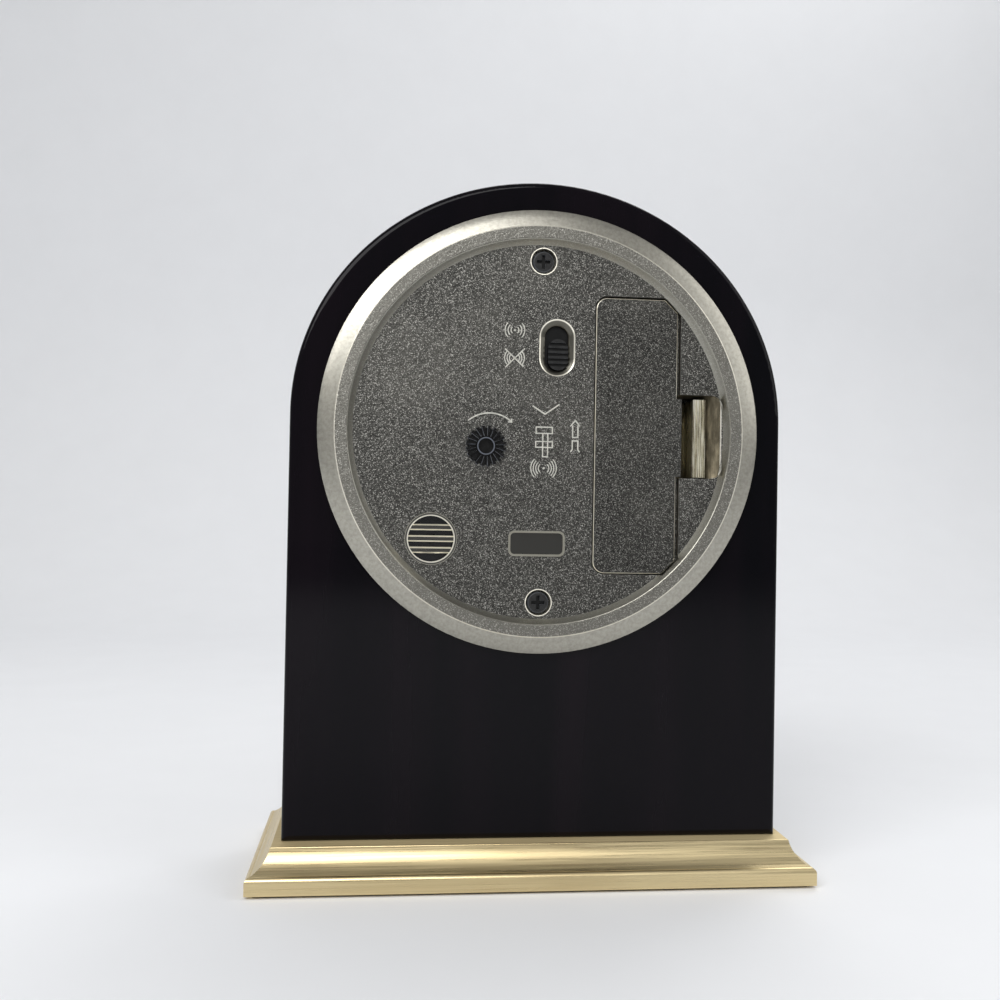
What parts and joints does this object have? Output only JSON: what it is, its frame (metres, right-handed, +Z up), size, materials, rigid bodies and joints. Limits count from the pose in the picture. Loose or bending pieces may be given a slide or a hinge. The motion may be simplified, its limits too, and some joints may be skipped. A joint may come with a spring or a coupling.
{
  "type": "desk alarm clock",
  "caption": "Arch-topped desk alarm clock: dark lacquered block on a moulded brass base, quartz movement in a round bore, hinged battery door, pull-and-turn setting knob and alarm switch.",
  "frame": {"origin": "on the table, under the middle of the base's outline", "axes": "+Z up, +X along the base's length, dial towards -Y and rear cover towards +Y"},
  "size_m": [0.1206, 0.0518, 0.1516],
  "materials": {
    "lacquered_wood": "near-black high-gloss lacquer",
    "satin_brass": "satin, brushed lengthwise",
    "polished_brass": "polished",
    "felt": "black felt",
    "zinc_screw": "zinc plated",
    "black_screw": "black oxide",
    "clear_glass": "clear",
    "ring_white": "matte",
    "dial_white": "matte enamel",
    "grey_plastic": "moulded",
    "wheel_plastic": "moulded",
    "train_brass": "turned",
    "magnet": "sintered",
    "hand_brass": "satin",
    "hand_black": "gloss black",
    "soft_iron": "stamped sheet",
    "copper_wire": "enamelled copper winding",
    "stem_steel": "drawn",
    "black_plastic": "semi-gloss",
    "champagne_plastic": "champagne metallised, fine sparkle texture",
    "cell_jacket": "plain printed jacket",
    "nickel_contact": "nickel plated",
    "board_laminate": "solder mask",
    "potting": "potting resin"
  },
  "bodies": {
    "case": {"case_block": "lacquered_wood", "base_plinth": "satin_brass", "base_felt": "felt", "base_screws": "zinc_screw", "bezel": "polished_brass", "lens": "clear_glass", "spacer_ring": "ring_white", "dial": "dial_white", "main_plate": "grey_plastic", "stator": "soft_iron", "coil_core": "soft_iron", "coil": "copper_wire", "back_plate": "grey_plastic", "movement_screws": "zinc_screw", "rear_cover": "champagne_plastic", "rear_cover_screws": "black_screw", "battery_cell": "cell_jacket", "contact_positive": "nickel_contact", "contact_negative": "nickel_contact", "circuit_board": "board_laminate", "board_screws": "zinc_screw", "quartz_crystal": "nickel_contact", "timing_chip": "potting", "capacitor": "potting", "sounder": "black_plastic"},
    "seconds": {"second_wheel": "wheel_plastic", "second_hand": "hand_black"},
    "third": {"third_wheel": "wheel_plastic"},
    "centre": {"centre_wheel": "wheel_plastic"},
    "fifth": {"fifth_wheel": "wheel_plastic"},
    "motor_rotor": {"rotor": "magnet"},
    "minutes": {"cannon_pinion": "train_brass", "minute_hand": "hand_black"},
    "motion_wheel": {"minute_wheel": "wheel_plastic"},
    "hours": {"hour_wheel": "wheel_plastic", "hour_hand": "hand_black"},
    "sleeve": {"setting_sleeve": "grey_plastic"},
    "knob": {"setting_knob": "black_plastic", "setting_stem": "stem_steel"},
    "alarm": {"alarm_wheel": "wheel_plastic", "alarm_hand": "hand_brass"},
    "switch": {"alarm_switch_slider": "black_plastic", "switch_contact": "nickel_contact"},
    "door": {"battery_door": "champagne_plastic"},
    "latch": {"battery_door_latch": "champagne_plastic"}
  },
  "joints": [
    {"name": "second_turn", "type": "hinge", "parent": "case", "child": "seconds", "pos_m": [0, -0.005, 0.0971], "axis": [0, 1, 0], "continuous": true},
    {"name": "third_turn", "type": "hinge", "parent": "case", "child": "third", "pos_m": [-0.0108, -0.007, 0.0971], "axis": [0, 1, 0], "continuous": true},
    {"name": "centre_turn", "type": "hinge", "parent": "case", "child": "centre", "pos_m": [0, -0.008, 0.0971], "axis": [0, 1, 0], "continuous": true},
    {"name": "fifth_turn", "type": "hinge", "parent": "case", "child": "fifth", "pos_m": [-0.00188, -0.006, 0.08646], "axis": [0, 1, 0], "continuous": true},
    {"name": "rotor_turn", "type": "hinge", "parent": "case", "child": "motor_rotor", "pos_m": [0.00602, -0.004, 0.08359], "axis": [0, 1, 0], "continuous": true},
    {"name": "minute_turn", "type": "hinge", "parent": "case", "child": "minutes", "pos_m": [0, -0.009, 0.0971], "axis": [0, 1, 0], "continuous": true},
    {"name": "minute_wheel_turn", "type": "hinge", "parent": "case", "child": "motion_wheel", "pos_m": [0.00759, -0.01, 0.10421], "axis": [0, 1, 0], "continuous": true},
    {"name": "hour_turn", "type": "hinge", "parent": "case", "child": "hours", "pos_m": [0, -0.01, 0.0971], "axis": [0, 1, 0], "continuous": true},
    {"name": "knob_turn", "type": "hinge", "parent": "case", "child": "sleeve", "pos_m": [0.012, 0, 0.09365], "axis": [0, 1, 0], "continuous": true},
    {"name": "alarm_turn", "type": "hinge", "parent": "case", "child": "alarm", "pos_m": [0, -0.011, 0.0971], "axis": [0, 1, 0], "continuous": true},
    {"name": "knob_pull", "type": "slide", "parent": "sleeve", "child": "knob", "axis": [0, 1, 0], "range_m": [0, 0.002]},
    {"name": "alarm_switch", "type": "slide", "parent": "case", "child": "switch", "axis": [0, 0, 1], "range_m": [0, 0.0029]},
    {"name": "battery_door_hinge", "type": "hinge", "parent": "case", "child": "door", "pos_m": [-0.01175, 0.01865, 0.0971], "axis": [0, 0, -1], "range_deg": [0, 100]},
    {"name": "door_tongue", "type": "hinge", "parent": "door", "child": "latch", "pos_m": [-0.0307, 0.0112, 0.0971], "axis": [0, 0, -1], "range_deg": [0, 10], "stiffness_Nm_per_rad": 0.02}
  ],
  "couplings": [
    {"joint": "third_turn", "follows": "second_turn", "ratio": -0.13333},
    {"joint": "centre_turn", "follows": "second_turn", "ratio": 0.016667},
    {"joint": "fifth_turn", "follows": "second_turn", "ratio": -5},
    {"joint": "rotor_turn", "follows": "second_turn", "ratio": 30},
    {"joint": "minute_wheel_turn", "follows": "minute_turn", "ratio": -0.25},
    {"joint": "hour_turn", "follows": "minute_turn", "ratio": 0.083333},
    {"joint": "alarm_turn", "follows": "knob_turn", "ratio": -0.33333}
  ]
}
